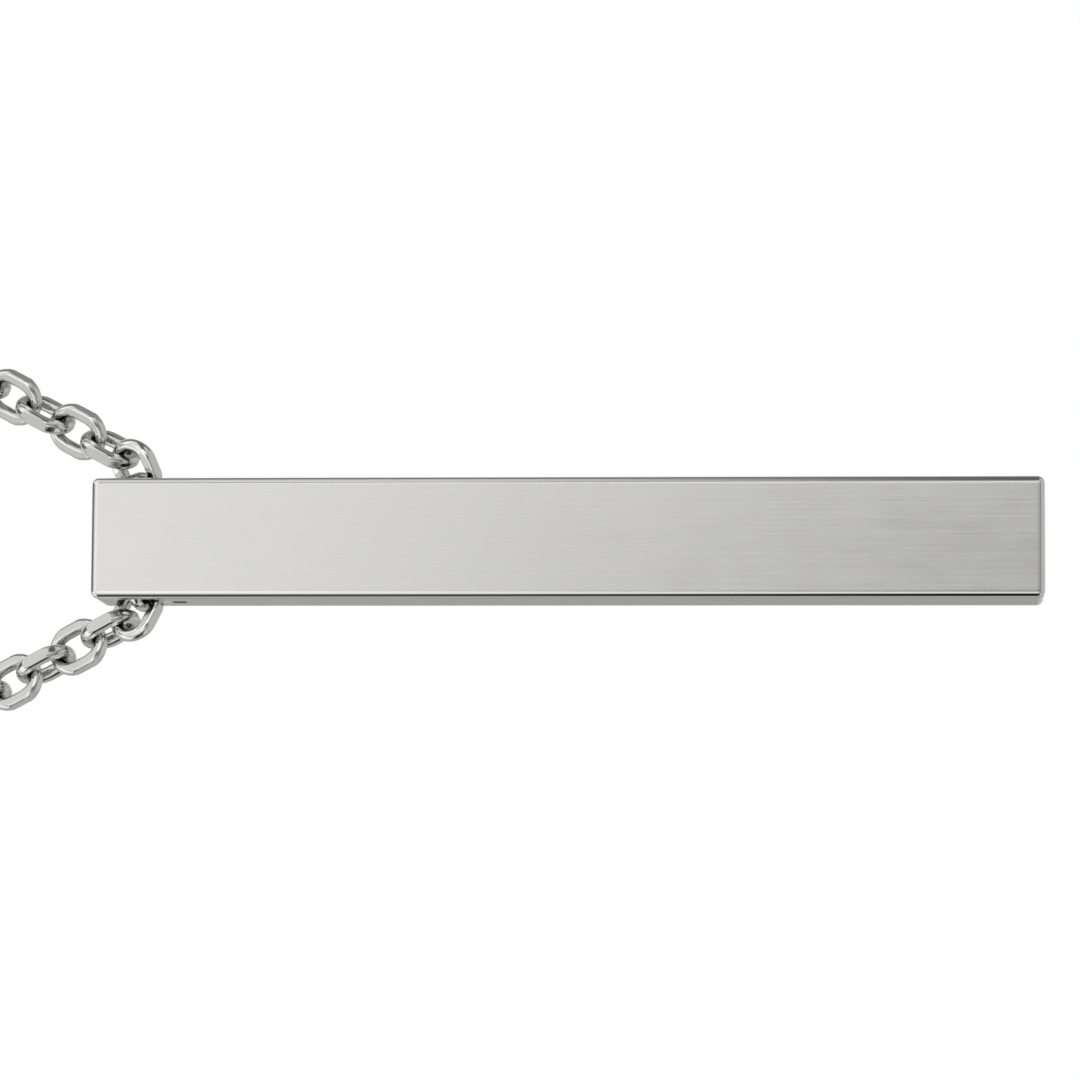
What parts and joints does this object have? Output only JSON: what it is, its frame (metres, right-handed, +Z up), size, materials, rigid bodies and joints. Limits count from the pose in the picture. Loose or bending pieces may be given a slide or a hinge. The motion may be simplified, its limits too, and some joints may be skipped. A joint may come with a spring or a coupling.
{
  "type": "bar pendant necklace",
  "caption": "Slim upright bar pendant with a cross hole near its top end, hung on a fine cable chain that passes through the hole and closes behind the neck.",
  "frame": {"origin": "middle of the opening for the neck, where the necklace sits when worn", "axes": "+Z up, the bar's broad front face looks along -Y, +X to the right seen from the front"},
  "size_m": [0.1264, 0.11, 0.1875],
  "materials": {
    "brushed_silver": "satin, brushed along the bar's length, with polished edges",
    "chain_silver": "polished silver",
    "clasp_silver": "polished silver"
  },
  "bodies": {
    "necklace": {"chain_front": "chain_silver", "chain_back": "chain_silver", "clasp": "clasp_silver"},
    "pendant": {"bar": "brushed_silver"}
  },
  "joints": [
    {"name": "bar_swing", "type": "hinge", "parent": "necklace", "child": "pendant", "pos_m": [0, -0.0502, -0.1218], "axis": [0.9945, 0.1045, 0], "range_deg": [-90, 90]}
  ]
}
